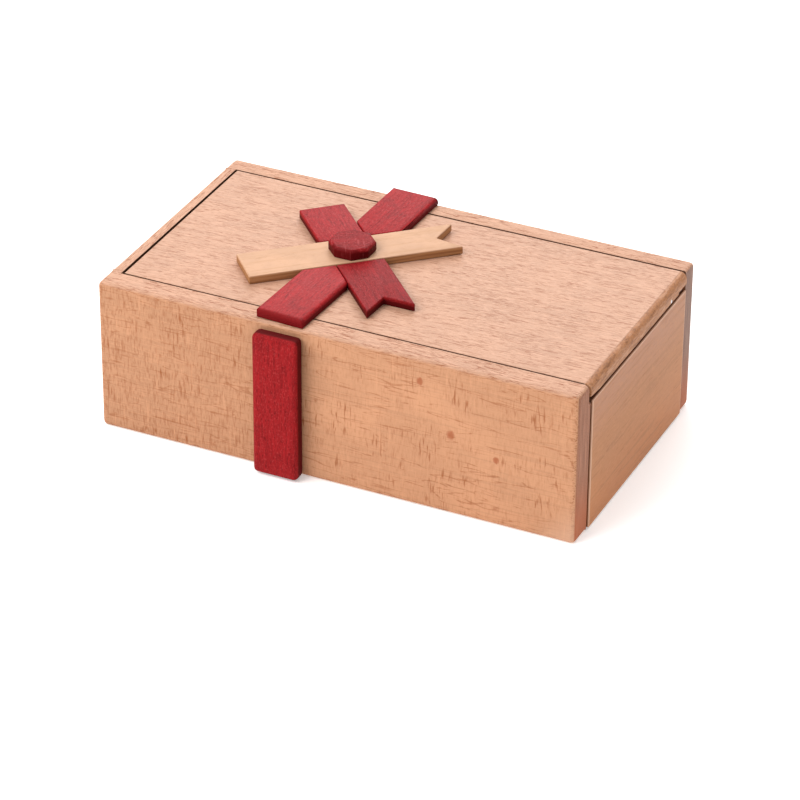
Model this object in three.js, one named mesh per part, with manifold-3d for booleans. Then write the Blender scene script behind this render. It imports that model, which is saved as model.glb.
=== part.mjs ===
// Wooden gift box with a turning bow: a beech box whose lid swings up on two steel pins at its
// right end, locked by a bar under the bow's knot, and whose right end panel is a hidden drawer.
// Millimetres, +Z up. The origin is the centre of the whole object's footprint, at table level.
// X runs along the box (the hinge end is +X) and -Y is the front.

import * as THREE from 'three';
import { mergeVertices } from 'three/addons/utils/BufferGeometryUtils.js';
import Module from 'manifold-3d';

const wasm = await Module();
wasm.setup();

// ---- Driving dimensions ----

const LENGTH = 148;
const TOTAL_DEPTH = 90;
const HEIGHT = 47;

const STRIP_THICKNESS = 5;
const WALL_SET_BACK = 0.4;
const FRONT_WALL = 8.7;
const FRONT_RIM = 7.35;
const BACK_WALL = 6.55;
const LEFT_WALL = 8;
const LEFT_RIM = 3.6;
const LEDGE_DROP = 1.2;
const LEDGE_DROP_LENGTH = 6;
const BOTTOM = 3.5;
const GLUE_GAP = 0.1;
const LOOSE_GAP = 0.3;

const LID = 4.6;
const LID_SIDE_GAP = 0.6;
const LID_TOP_ROUND = 2;
const LID_UNDER_ROUND = 0.6;
const LID_REBATE_WIDTH = 6;
const LID_REBATE_DEPTH = 0.8;

const HINGE_PIN_RADIUS = 1.25;
const HINGE_PIN_IN_WALL = 4.1;
const HINGE_PIN_IN_LID = 4.7;
const PIN_FIXED_CLEARANCE = 0.1;
const PIN_RUNNING_CLEARANCE = 0.15;
const STUD_RADIUS = 0.6;
const STUD_LENGTH = 0.9;
const STUD_SUNK = 0.05;
const STUD_ABOVE_UNDERSIDE = 0.9;
const STUD_Y = 26.5;

const RIBBON = 2.5;
const RIBBON_GAP = 0.3;
const KNOT_X = -15.35;
const KNOT_Y = 4.2;

// Each ribbon: its turn from X, how far its middle line passes the knot's centre, and its width.
const MAIN_FRONT = { turn: 86.7, aside: -0.7, width: 14.7 };
const MAIN_BACK = { turn: 88.3, aside: -0.2, width: 14.4 };
const CREAM = { turn: 42.3, aside: 0, width: 13.9 };
const UPPER_TAIL = { turn: -46.8, aside: -0.66, width: 13.7 };
const LOWER_TAIL = { turn: -46.8, aside: 0.2, width: 14.1 };
const MAIN_TO_FRONT = 42.9;
const MAIN_TO_BACK = 40.5;
const CREAM_TO_PLAIN_END = 32.4;
const CREAM_TO_TIPS = 32;
const CREAM_TIP_SHORT = 1;
const CREAM_NOTCH = 6.8;
const TAIL_TO_PLAIN_END = 27.7;
const TAIL_TO_TIPS = 35.3;
const TAIL_NOTCH = 6.6;

const STRIP_LEFT = -22.95;
const STRIP_RIGHT = -9.05;
const STRIP_BOTTOM = 0.5;
const STRIP_TOP = 45.5;

const KNOT_ACROSS = 12.8;
const KNOT_HEIGHT = 3.2;
const KNOT_CHAMFER = 0.7;
const KNOT_SIDES = 8;
const DOWEL_RADIUS = 3;
const DOWEL_IN_KNOT = 1.4;
const SCREW_RADIUS = 1.3;
const SCREW_LENGTH = 8;
const SCREW_HEAD_RADIUS = 2.7;
const SCREW_HEAD = 1.5;
const SCREW_SLOT = 0.6;
const WASHER_RADIUS = 5;
const WASHER = 0.8;

const BAR = 4;
const BAR_WIDTH = 10;
const BAR_BELOW_LID = 0.5;
const BAR_IN_WALL = 3.2;
const MORTISE_PLAY = 0.4;

const PARTITION_X = 23;
const PARTITION = 3.5;
const BAY_COVER = 3;
const BAY_COVER_TOP = 40.1;

const DRAWER_FRONT = 6;
const DRAWER_FRONT_BOTTOM = 0.5;
const DRAWER_FRONT_TOP = 41.4;
const DRAWER_GAP_FRONT = 0.75;
const DRAWER_GAP_BACK = 0.8;
const DRAWER_INSET = 0.4;
const DRAWER_BOARD = 3.5;
const DRAWER_FLOOR = 2.2;

const TILT_PIN_RADIUS = 2;
const TILT_PIN_LENGTH = 6;
const TILT_PIN_X = 48;
const TILT_PIN_Z = 21;
const TILT_BORE_DEPTH = 6.3;
const TILT_HOLE_DEPTH = 2.9;
const TILT_PIN_CLEARANCE = 0.15;
const TILT_HOLE_CLEARANCE = 0.3;

const ROUND_SEGMENTS = 24;
const LID_ROUND_SEGMENTS = 16;
const CUT_OVERRUN = 1;
const MERGE_DISTANCE = 1e-5;

// ---- Places worked out from them ----

const LEFT = -LENGTH / 2;
const RIGHT = LENGTH / 2;
const WALL_RIGHT = RIGHT - WALL_SET_BACK;
const BACK = TOTAL_DEPTH / 2;
const FRONT = -TOTAL_DEPTH / 2 + STRIP_THICKNESS;
const INNER_FRONT = FRONT + FRONT_WALL;
const RIM_FRONT = FRONT + FRONT_RIM;
const INNER_BACK = BACK - BACK_WALL;
const INNER_LEFT = LEFT + LEFT_WALL;

const LID_UNDERSIDE = HEIGHT - LID;
const HINGE_X = RIGHT - LID / 2;
const HINGE_Z = HEIGHT - LID / 2;
const STUD_X = [RIGHT - STUD_SUNK - STUD_LENGTH, RIGHT - STUD_SUNK];
const RIBBON_BOTTOM = HEIGHT + GLUE_GAP;
const RIBBON_TOP = RIBBON_BOTTOM + RIBBON;
const KNOT_BOTTOM = RIBBON_TOP + GLUE_GAP;
const KNOT_TOP = KNOT_BOTTOM + KNOT_HEIGHT;

const BAR_TOP = LID_UNDERSIDE - BAR_BELOW_LID;
const BAR_UNDERSIDE = BAR_TOP - BAR;
const BAR_TO_FRONT = KNOT_Y - INNER_FRONT + BAR_IN_WALL;
const BAR_TO_BACK = INNER_BACK - KNOT_Y + BAR_IN_WALL;
const DRAWER_BACK_X = PARTITION_X + PARTITION + 2 * LOOSE_GAP;
const DRAWER_FRONT_X = RIGHT - DRAWER_FRONT;
const DRAWER_FLOOR_BOTTOM = BOTTOM + LOOSE_GAP;
const DRAWER_SIDE_BOTTOM = DRAWER_FLOOR_BOTTOM + DRAWER_FLOOR + GLUE_GAP;
const DRAWER_SIDE_TOP = BAY_COVER_TOP - BAY_COVER - 2 * LOOSE_GAP;
const DRAWER_Y0 = INNER_FRONT + DRAWER_GAP_FRONT;
const DRAWER_Y1 = INNER_BACK - DRAWER_GAP_BACK;

// ---- Solids ----

function toSolid(geometry) {
  const bare = geometry.clone();
  bare.deleteAttribute('normal');
  bare.deleteAttribute('uv');
  const merged = mergeVertices(bare, MERGE_DISTANCE);
  return new wasm.Manifold(new wasm.Mesh({
    numProp: 3,
    vertProperties: new Float32Array(merged.attributes.position.array),
    triVerts: new Uint32Array(merged.index.array),
  }));
}

function toGeometry(solid) {
  const mesh = solid.getMesh();
  const geometry = new THREE.BufferGeometry();
  geometry.setAttribute('position', new THREE.BufferAttribute(mesh.vertProperties, 3));
  geometry.setIndex(new THREE.BufferAttribute(mesh.triVerts, 1));
  return geometry;
}

function block(x, y, z) {
  const geometry = new THREE.BoxGeometry(x[1] - x[0], y[1] - y[0], z[1] - z[0]);
  geometry.translate((x[0] + x[1]) / 2, (y[0] + y[1]) / 2, (z[0] + z[1]) / 2);
  return toSolid(geometry);
}

// A round bar between two heights on Z.
function uprightRound(radius, x, y, z) {
  const geometry = new THREE.CylinderGeometry(radius, radius, z[1] - z[0], ROUND_SEGMENTS);
  geometry.rotateX(Math.PI / 2);
  geometry.translate(x, y, (z[0] + z[1]) / 2);
  return toSolid(geometry);
}

// A round bar along Y.
function crossRound(radius, x, y, z) {
  const geometry = new THREE.CylinderGeometry(radius, radius, y[1] - y[0], ROUND_SEGMENTS);
  geometry.translate(x, (y[0] + y[1]) / 2, z);
  return toSolid(geometry);
}

// A flat outline of [x, y] points, raised from z[0] to z[1].
function plate(points, z) {
  const shape = new THREE.Shape(points.map(([x, y]) => new THREE.Vector2(x, y)));
  const geometry = new THREE.ExtrudeGeometry(shape, { depth: z[1] - z[0], bevelEnabled: false });
  geometry.translate(0, 0, z[0]);
  return toSolid(geometry);
}

// ---- Box body ----

// The slot that one end of the turn bar swings into: it spans the arc that the bar's end sweeps.
function barMortise(innerFace, outward, reach) {
  const toWall = reach - BAR_IN_WALL;
  const cornerReach = Math.hypot(reach, BAR_WIDTH / 2);
  const sweep = Math.sqrt(cornerReach ** 2 - toWall ** 2) + MORTISE_PLAY;
  const rest = BAR_WIDTH / 2 + MORTISE_PLAY;
  const depth = cornerReach - toWall + MORTISE_PLAY;
  const x = outward < 0 ? [KNOT_X - sweep, KNOT_X + rest] : [KNOT_X - rest, KNOT_X + sweep];
  const y = outward < 0
    ? [innerFace - depth, innerFace + CUT_OVERRUN]
    : [innerFace - CUT_OVERRUN, innerFace + depth];
  return block(x, y, [BAR_UNDERSIDE - MORTISE_PLAY, BAR_TOP + LOOSE_GAP]);
}

function hingeBore(innerFace, outward) {
  const depth = HINGE_PIN_IN_WALL + MORTISE_PLAY;
  const y = outward < 0
    ? [innerFace - depth, innerFace + CUT_OVERRUN]
    : [innerFace - CUT_OVERRUN, innerFace + depth];
  return crossRound(HINGE_PIN_RADIUS + PIN_RUNNING_CLEARANCE, HINGE_X, y, HINGE_Z);
}

// The front wall's inner top edge is rebated too. Near the hinge the ledge drops, to let the
// lid's lower corner swing past, and over the mortise it is cut away.
function frontWall() {
  const board = block([LEFT, WALL_RIGHT], [FRONT, INNER_FRONT], [0, HEIGHT]);
  const ledgeY = [RIM_FRONT, INNER_FRONT + CUT_OVERRUN];
  const ledgeTop = LID_UNDERSIDE - GLUE_GAP;
  const mortise = barMortise(INNER_FRONT, -1, BAR_TO_FRONT);
  const mortiseBox = mortise.boundingBox();
  const tiltBore = crossRound(TILT_PIN_RADIUS + TILT_PIN_CLEARANCE, TILT_PIN_X,
    [INNER_FRONT - TILT_BORE_DEPTH, INNER_FRONT + CUT_OVERRUN], TILT_PIN_Z);
  const cuts = [
    block([LEFT + LEFT_RIM, RIGHT], ledgeY, [ledgeTop, HEIGHT + CUT_OVERRUN]),
    block([WALL_RIGHT - LEDGE_DROP_LENGTH, RIGHT], ledgeY, [ledgeTop - LEDGE_DROP, HEIGHT]),
    block([mortiseBox.min[0], mortiseBox.max[0]], ledgeY, [BAR_UNDERSIDE, HEIGHT]),
    mortise,
    hingeBore(RIM_FRONT, -1),
    tiltBore,
  ];
  return cuts.reduce((wood, cut) => wood.subtract(cut), board);
}

function backWall() {
  return block([LEFT, WALL_RIGHT], [INNER_BACK, BACK], [0, HEIGHT])
    .subtract(barMortise(INNER_BACK, 1, BAR_TO_BACK))
    .subtract(hingeBore(INNER_BACK, 1));
}

const BETWEEN_WALLS = [INNER_FRONT + GLUE_GAP, INNER_BACK - GLUE_GAP];

// The left wall's inner top edge is rebated, so the lid's left end rests on a ledge.
function leftWall() {
  const rebate = block([LEFT + LEFT_RIM, INNER_LEFT + CUT_OVERRUN],
    [INNER_FRONT - CUT_OVERRUN, INNER_BACK + CUT_OVERRUN],
    [LID_UNDERSIDE - GLUE_GAP, HEIGHT + CUT_OVERRUN]);
  return block([LEFT, INNER_LEFT], BETWEEN_WALLS, [0, HEIGHT]).subtract(rebate);
}

function bottomBoard() {
  return block([INNER_LEFT + GLUE_GAP, DRAWER_FRONT_X - LOOSE_GAP], BETWEEN_WALLS, [0, BOTTOM]);
}

function partition() {
  return block([PARTITION_X, PARTITION_X + PARTITION], BETWEEN_WALLS,
    [BOTTOM + GLUE_GAP, BAY_COVER_TOP - BAY_COVER - GLUE_GAP]);
}

function bayCover() {
  return block([PARTITION_X, DRAWER_FRONT_X - LOOSE_GAP], BETWEEN_WALLS,
    [BAY_COVER_TOP - BAY_COVER, BAY_COVER_TOP]);
}

function frontRibbon() {
  return block([STRIP_LEFT, STRIP_RIGHT], [FRONT - STRIP_THICKNESS, FRONT - GLUE_GAP],
    [STRIP_BOTTOM, STRIP_TOP]);
}

// ---- Lid ----

// Side outline of the lid, drawn in X and Z: square at the left, rounded over at the right.
function lidOutline() {
  const shape = new THREE.Shape();
  const left = LEFT + LEFT_RIM + LID_SIDE_GAP;
  shape.moveTo(left, LID_UNDERSIDE);
  shape.absarc(RIGHT - LID_UNDER_ROUND, LID_UNDERSIDE + LID_UNDER_ROUND, LID_UNDER_ROUND,
    -Math.PI / 2, 0, false);
  shape.absarc(RIGHT - LID_TOP_ROUND, HEIGHT - LID_TOP_ROUND, LID_TOP_ROUND,
    0, Math.PI / 2, false);
  shape.lineTo(left, HEIGHT);
  shape.closePath();
  return shape;
}

// A short round plug along X in the lid's end, from x[0] to x[1].
function studPlug(radius, x) {
  const geometry = new THREE.CylinderGeometry(radius, radius, x[1] - x[0], ROUND_SEGMENTS);
  geometry.rotateZ(Math.PI / 2);
  geometry.translate((x[0] + x[1]) / 2, STUD_Y, LID_UNDERSIDE + STUD_ABOVE_UNDERSIDE);
  return toSolid(geometry);
}

function lidBoard() {
  const y0 = RIM_FRONT + LID_SIDE_GAP;
  const y1 = INNER_BACK - LID_SIDE_GAP;
  const geometry = new THREE.ExtrudeGeometry(lidOutline(),
    { depth: y1 - y0, bevelEnabled: false, curveSegments: LID_ROUND_SEGMENTS });
  geometry.rotateX(Math.PI / 2);
  geometry.translate(0, y1, 0);
  const boreRadius = HINGE_PIN_RADIUS + PIN_FIXED_CLEARANCE;
  const boreDepth = HINGE_PIN_IN_LID + MORTISE_PLAY;
  const lengthways = [LEFT, RIGHT + CUT_OVERRUN];
  const rebateHeight = [LID_UNDERSIDE - CUT_OVERRUN, LID_UNDERSIDE + LID_REBATE_DEPTH];
  const cuts = [
    block(lengthways, [y0 - CUT_OVERRUN, y0 + LID_REBATE_WIDTH], rebateHeight),
    block(lengthways, [y1 - LID_REBATE_WIDTH, y1 + CUT_OVERRUN], rebateHeight),
    crossRound(boreRadius, HINGE_X, [y0 - CUT_OVERRUN, y0 + boreDepth], HINGE_Z),
    crossRound(boreRadius, HINGE_X, [y1 - boreDepth, y1 + CUT_OVERRUN], HINGE_Z),
    uprightRound(DOWEL_RADIUS + PIN_RUNNING_CLEARANCE, KNOT_X, KNOT_Y,
      [LID_UNDERSIDE - CUT_OVERRUN, HEIGHT + CUT_OVERRUN]),
    studPlug(STUD_RADIUS + PIN_FIXED_CLEARANCE, [STUD_X[0] - PIN_FIXED_CLEARANCE, RIGHT + CUT_OVERRUN]),
  ];
  return cuts.reduce((wood, cut) => wood.subtract(cut), toSolid(geometry));
}

function hingePin(innerFace, outward) {
  const inWall = innerFace + outward * HINGE_PIN_IN_WALL;
  const inLid = innerFace - outward * (LID_SIDE_GAP + HINGE_PIN_IN_LID);
  const y = outward < 0 ? [inWall, inLid] : [inLid, inWall];
  return crossRound(HINGE_PIN_RADIUS, HINGE_X, y, HINGE_Z);
}

// ---- Bow ----

// A straight ribbon that passes the knot, from `from` to `to` along its own direction, with a
// V cut into its far end when notch is above zero. tipShort takes a little off the near tip.
function ribbon({ turn, aside, width }, from, to, notch, z, tipShort = 0) {
  const angle = THREE.MathUtils.degToRad(turn);
  const low = aside - width / 2;
  const high = aside + width / 2;
  const valley = notch > 0 ? [[to - notch, aside]] : [];
  const farEnd = [[to - tipShort, low], ...valley, [to, high]];
  const points = [[from, low], ...farEnd, [from, high]].map(([along, across]) => [
    KNOT_X + along * Math.cos(angle) - across * Math.sin(angle),
    KNOT_Y + along * Math.sin(angle) + across * Math.cos(angle),
  ]);
  return plate(points, z);
}

const RIBBON_LEVEL = [RIBBON_BOTTOM, RIBBON_TOP];
const RIBBON_CUT = [RIBBON_BOTTOM - CUT_OVERRUN, RIBBON_TOP + CUT_OVERRUN];

// The space that a ribbon takes from the ribbons that stop against it.
function ribbonRoom(course) {
  const room = { ...course, width: course.width + 2 * RIBBON_GAP };
  return ribbon(room, -LENGTH, LENGTH, 0, RIBBON_CUT);
}

function creamRibbon() {
  const hole = uprightRound(DOWEL_RADIUS + PIN_RUNNING_CLEARANCE, KNOT_X, KNOT_Y, RIBBON_CUT);
  return ribbon(CREAM, -CREAM_TO_PLAIN_END, CREAM_TO_TIPS, CREAM_NOTCH, RIBBON_LEVEL,
    CREAM_TIP_SHORT).subtract(hole);
}

function bowTail(course, from, to, notch) {
  return ribbon(course, from, to, notch, RIBBON_LEVEL).subtract(ribbonRoom(CREAM));
}

function mainRibbon(course, from, to, neighbour) {
  return ribbon(course, from, to, 0, RIBBON_LEVEL)
    .subtract(ribbonRoom(CREAM))
    .subtract(ribbonRoom(neighbour));
}

function bowKnot() {
  const radius = KNOT_ACROSS / 2 / Math.cos(Math.PI / KNOT_SIDES);
  const profile = [
    [0, KNOT_BOTTOM],
    [radius, KNOT_BOTTOM],
    [radius, KNOT_TOP - KNOT_CHAMFER],
    [radius - KNOT_CHAMFER, KNOT_TOP],
    [0, KNOT_TOP],
  ].map(([x, z]) => new THREE.Vector2(x, z));
  const geometry = new THREE.LatheGeometry(profile, KNOT_SIDES, Math.PI / KNOT_SIDES);
  geometry.rotateX(Math.PI / 2);
  geometry.translate(KNOT_X, KNOT_Y, 0);
  const socket = uprightRound(DOWEL_RADIUS + PIN_FIXED_CLEARANCE, KNOT_X, KNOT_Y,
    [KNOT_BOTTOM - CUT_OVERRUN, KNOT_BOTTOM + DOWEL_IN_KNOT + MORTISE_PLAY]);
  return toSolid(geometry).subtract(socket);
}

// ---- Lock under the knot ----

function knotDowel() {
  const bore = uprightRound(SCREW_RADIUS + PIN_FIXED_CLEARANCE, KNOT_X, KNOT_Y,
    [BAR_UNDERSIDE - CUT_OVERRUN, BAR_UNDERSIDE + SCREW_LENGTH + MORTISE_PLAY]);
  return uprightRound(DOWEL_RADIUS, KNOT_X, KNOT_Y, [BAR_UNDERSIDE, KNOT_BOTTOM + DOWEL_IN_KNOT])
    .subtract(bore);
}

// The bar is stored unlocked, along X. A quarter turn takes its left arm into the front wall.
function turnBar() {
  const hole = uprightRound(DOWEL_RADIUS + PIN_FIXED_CLEARANCE, KNOT_X, KNOT_Y,
    [BAR_UNDERSIDE - CUT_OVERRUN, BAR_TOP + CUT_OVERRUN]);
  return block([KNOT_X - BAR_TO_FRONT, KNOT_X + BAR_TO_BACK],
    [KNOT_Y - BAR_WIDTH / 2, KNOT_Y + BAR_WIDTH / 2], [BAR_UNDERSIDE, BAR_TOP]).subtract(hole);
}

const WASHER_TOP = BAR_UNDERSIDE - GLUE_GAP;
const SCREW_HEAD_TOP = WASHER_TOP - WASHER - GLUE_GAP;

function knotWasher() {
  return uprightRound(WASHER_RADIUS, KNOT_X, KNOT_Y, [WASHER_TOP - WASHER, WASHER_TOP])
    .subtract(uprightRound(SCREW_RADIUS + PIN_FIXED_CLEARANCE, KNOT_X, KNOT_Y,
      [WASHER_TOP - WASHER - CUT_OVERRUN, WASHER_TOP + CUT_OVERRUN]));
}

function knotScrew() {
  const underside = SCREW_HEAD_TOP - SCREW_HEAD;
  const slot = block([KNOT_X - WASHER_RADIUS, KNOT_X + WASHER_RADIUS],
    [KNOT_Y - SCREW_SLOT / 2, KNOT_Y + SCREW_SLOT / 2],
    [underside - CUT_OVERRUN, underside + SCREW_HEAD / 2]);
  return uprightRound(SCREW_HEAD_RADIUS, KNOT_X, KNOT_Y, [underside, SCREW_HEAD_TOP])
    .add(uprightRound(SCREW_RADIUS, KNOT_X, KNOT_Y,
      [SCREW_HEAD_TOP, BAR_UNDERSIDE + SCREW_LENGTH]))
    .subtract(slot);
}

// ---- Hidden drawer ----

function drawerFront() {
  return block([DRAWER_FRONT_X, RIGHT], [DRAWER_Y0, DRAWER_Y1],
    [DRAWER_FRONT_BOTTOM, DRAWER_FRONT_TOP]);
}

const TRAY_X = [DRAWER_BACK_X, DRAWER_FRONT_X - GLUE_GAP];
const TRAY_Y = [DRAWER_Y0 + DRAWER_INSET, DRAWER_Y1 - DRAWER_INSET];
const TRAY_WALL_Z = [DRAWER_SIDE_BOTTOM, DRAWER_SIDE_TOP];

function drawerFloor() {
  return block(TRAY_X, TRAY_Y, [DRAWER_FLOOR_BOTTOM, DRAWER_FLOOR_BOTTOM + DRAWER_FLOOR]);
}

function drawerSideFront() {
  const hole = crossRound(TILT_PIN_RADIUS + TILT_HOLE_CLEARANCE, TILT_PIN_X,
    [TRAY_Y[0] - CUT_OVERRUN, TRAY_Y[0] + TILT_HOLE_DEPTH], TILT_PIN_Z);
  return block(TRAY_X, [TRAY_Y[0], TRAY_Y[0] + DRAWER_BOARD], TRAY_WALL_Z).subtract(hole);
}

function drawerSideBack() {
  return block(TRAY_X, [TRAY_Y[1] - DRAWER_BOARD, TRAY_Y[1]], TRAY_WALL_Z);
}

function drawerBack() {
  const inset = DRAWER_BOARD + GLUE_GAP;
  return block([TRAY_X[0], TRAY_X[0] + DRAWER_BOARD], [TRAY_Y[0] + inset, TRAY_Y[1] - inset],
    TRAY_WALL_Z);
}

// A loose pin in the front wall, stored withdrawn: it slides into the drawer's side to lock it.
function tiltPin() {
  const inner = INNER_FRONT - TILT_PIN_CLEARANCE;
  return crossRound(TILT_PIN_RADIUS, TILT_PIN_X, [inner - TILT_PIN_LENGTH, inner], TILT_PIN_Z);
}

// ---- The object ----

const beech = { color: 0xd9ad84, roughness: 0.6, metalness: 0 };
const beechDark = { color: 0xc08f6b, roughness: 0.6, metalness: 0 };
const redStain = { color: 0xa3262c, roughness: 0.55, metalness: 0 };
const cream = { color: 0xe9c896, roughness: 0.6, metalness: 0 };
const steel = { color: 0xc4c6c8, roughness: 0.3, metalness: 1 };
const brass = { color: 0xc9a24d, roughness: 0.35, metalness: 1 };

const PIECES = [
  ['front_wall', frontWall(), beech],
  ['back_wall', backWall(), beech],
  ['left_wall', leftWall(), beech],
  ['bottom_board', bottomBoard(), beech],
  ['partition', partition(), beech],
  ['bay_cover', bayCover(), beech],
  ['front_ribbon', frontRibbon(), redStain],
  ['lid_board', lidBoard(), beech],
  ['lid_stud', studPlug(STUD_RADIUS, STUD_X), steel],
  ['hinge_pin_front', hingePin(RIM_FRONT, -1), steel],
  ['hinge_pin_back', hingePin(INNER_BACK, 1), steel],
  ['ribbon_front', mainRibbon(MAIN_FRONT, -MAIN_TO_FRONT, 0, LOWER_TAIL), redStain],
  ['ribbon_back', mainRibbon(MAIN_BACK, 0, MAIN_TO_BACK, UPPER_TAIL), redStain],
  ['bow_tail_upper', bowTail(UPPER_TAIL, -TAIL_TO_PLAIN_END, 0, 0), redStain],
  ['bow_tail_lower', bowTail(LOWER_TAIL, 0, TAIL_TO_TIPS, TAIL_NOTCH), redStain],
  ['cream_ribbon', creamRibbon(), cream],
  ['bow_knot', bowKnot(), redStain],
  ['knot_dowel', knotDowel(), beech],
  ['turn_bar', turnBar(), beech],
  ['knot_washer', knotWasher(), brass],
  ['knot_screw', knotScrew(), brass],
  ['drawer_front', drawerFront(), beechDark],
  ['drawer_side_front', drawerSideFront(), beech],
  ['drawer_side_back', drawerSideBack(), beech],
  ['drawer_back', drawerBack(), beech],
  ['drawer_floor', drawerFloor(), beech],
  ['tilt_pin', tiltPin(), steel],
];

const giftBox = new THREE.Group();
for (const [name, solid, finish] of PIECES) {
  const mesh = new THREE.Mesh(toGeometry(solid), new THREE.MeshStandardMaterial(finish));
  mesh.name = name;
  giftBox.add(mesh);
}

export default giftBox;
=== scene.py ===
"""A small beech gift box with a red and cream wooden bow, finished around its measured frame.

The lid swings on two steel pins at the box's right end, the bow's knot turns a lock bar under
the lid, and the right end panel is the front of a hidden drawer. Lengths in the code are in
millimetres on the box's own frame (X along the box, -Y the front, +Z up) and MM turns them
into scene units.
"""

import math

import bmesh
import bpy
from mathutils import Euler, Matrix, Vector


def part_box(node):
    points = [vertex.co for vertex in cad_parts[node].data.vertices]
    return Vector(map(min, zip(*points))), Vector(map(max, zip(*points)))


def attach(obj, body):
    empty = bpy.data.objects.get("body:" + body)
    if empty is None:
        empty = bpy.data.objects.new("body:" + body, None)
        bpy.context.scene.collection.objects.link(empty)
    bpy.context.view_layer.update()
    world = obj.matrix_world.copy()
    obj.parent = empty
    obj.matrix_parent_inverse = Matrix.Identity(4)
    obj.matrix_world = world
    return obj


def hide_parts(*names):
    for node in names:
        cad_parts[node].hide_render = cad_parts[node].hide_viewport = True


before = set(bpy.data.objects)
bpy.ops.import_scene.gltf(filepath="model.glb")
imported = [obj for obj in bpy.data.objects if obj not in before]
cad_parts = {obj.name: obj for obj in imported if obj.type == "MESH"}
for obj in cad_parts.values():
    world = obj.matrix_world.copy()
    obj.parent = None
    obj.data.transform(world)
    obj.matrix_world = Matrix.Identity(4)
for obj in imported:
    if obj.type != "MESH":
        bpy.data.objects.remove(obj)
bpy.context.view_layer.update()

bl_info = {
    "name": "Beech Gift Box",
    "version": (1, 0, 0),
    "blender": (4, 5, 0),
    "location": "3D View > Sidebar > Gift Box",
    "description": "Builds a beech gift box with a turning bow, a hinged lid and a hidden drawer",
    "category": "Add Mesh",
}

MM = 0.001


def corners_mm(node):
    """The lowest and highest corner of a frame node, in millimetres."""
    low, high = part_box(node)
    return Vector(low) / MM, Vector(high) / MM


FRONT_WALL = corners_mm("front_wall")
BACK_WALL = corners_mm("back_wall")
LEFT_WALL = corners_mm("left_wall")
LID = corners_mm("lid_board")
CREAM_TOP = corners_mm("cream_ribbon")[1].z
KNOT = corners_mm("bow_knot")
BODY = (
    Vector((FRONT_WALL[0].x, FRONT_WALL[0].y, 0.0)),
    Vector((FRONT_WALL[1].x, BACK_WALL[1].y, FRONT_WALL[1].z)),
)

X_AXIS = 0
Y_AXIS = 1

LID_GAP = 0.6
LEFT_SEAM = LID[0].x - LID_GAP
FRONT_SEAM = LID[0].y - LID_GAP
BACK_SEAM = LID[1].y + LID_GAP

CREAM_TURN = math.radians(42.3)
TAIL_TURN = math.radians(-46.8)
MAIN_TURN = math.radians(87.5)
KNOT_TURN = math.radians(30)


# ---- Sizes and colours that a user may change ----


class GiftBoxSizes(bpy.types.PropertyGroup):
    """Radii that the sanding leaves on the wood."""

    outer_edge: bpy.props.FloatProperty(
        name="Outer edges", description="Radius of the box's outside edges",
        default=1.4 * MM, min=0.0, unit="LENGTH")
    inner_edge: bpy.props.FloatProperty(
        name="Inner edges", description="Radius of edges that meet another board",
        default=0.22 * MM, min=0.0, unit="LENGTH")
    lid_edge: bpy.props.FloatProperty(
        name="Lid edges", description="Radius of the lid's long edges",
        default=0.3 * MM, min=0.0, unit="LENGTH")
    ribbon_edge: bpy.props.FloatProperty(
        name="Front strip edges", description="Radius of the strip on the front wall",
        default=1.5 * MM, min=0.0, unit="LENGTH")
    ribbon_end: bpy.props.FloatProperty(
        name="Ribbon end", description="Rounding of the straight ribbon's outer ends",
        default=1.5 * MM, min=0.0, unit="LENGTH")
    ribbon_side: bpy.props.FloatProperty(
        name="Ribbon side", description="Rounding of the straight ribbon's right-hand edge",
        default=1.8 * MM, min=0.0, unit="LENGTH")
    bow_edge: bpy.props.FloatProperty(
        name="Bow edges", description="Radius of the bow pieces' edges",
        default=0.3 * MM, min=0.0, unit="LENGTH")


class GiftBoxColours(bpy.types.PropertyGroup):
    """Colours of the bare and stained wood and of the metal."""

    beech_lid: bpy.props.FloatVectorProperty(
        name="Lid beech", description="Pale pinkish beech of the lid and the rims",
        default=(0.560, 0.318, 0.212), min=0.0, max=1.0, subtype="COLOR")
    beech_wall: bpy.props.FloatVectorProperty(
        name="Wall beech", description="Warmer beech of the long walls",
        default=(0.510, 0.257, 0.143), min=0.0, max=1.0, subtype="COLOR")
    beech_panel: bpy.props.FloatVectorProperty(
        name="Panel beech", description="Beech of the end panel",
        default=(0.445, 0.203, 0.096), min=0.0, max=1.0, subtype="COLOR")
    beech_mark: bpy.props.FloatVectorProperty(
        name="Flecks", description="Red-brown flecks and lines in the beech",
        default=(0.270, 0.078, 0.026), min=0.0, max=1.0, subtype="COLOR")
    end_grain: bpy.props.FloatVectorProperty(
        name="End grain", description="End grain of the long walls",
        default=(0.345, 0.158, 0.098), min=0.0, max=1.0, subtype="COLOR")
    red_stain: bpy.props.FloatVectorProperty(
        name="Red stain", description="Stain of the red ribbons",
        default=(0.330, 0.0125, 0.0150), min=0.0, max=1.0, subtype="COLOR")
    red_dark: bpy.props.FloatVectorProperty(
        name="Red grain", description="Dark grain lines in the stained wood",
        default=(0.130, 0.004, 0.005), min=0.0, max=1.0, subtype="COLOR")
    cream: bpy.props.FloatVectorProperty(
        name="Cream wood", description="Pale wood of the cream ribbon",
        default=(0.560, 0.325, 0.200), min=0.0, max=1.0, subtype="COLOR")
    steel: bpy.props.FloatVectorProperty(
        name="Steel", description="Ground steel of the pins",
        default=(0.62, 0.62, 0.63), min=0.0, max=1.0, subtype="COLOR")
    brass: bpy.props.FloatVectorProperty(
        name="Brass", description="Brass of the screw and its washer",
        default=(0.70, 0.47, 0.19), min=0.0, max=1.0, subtype="COLOR")


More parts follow.
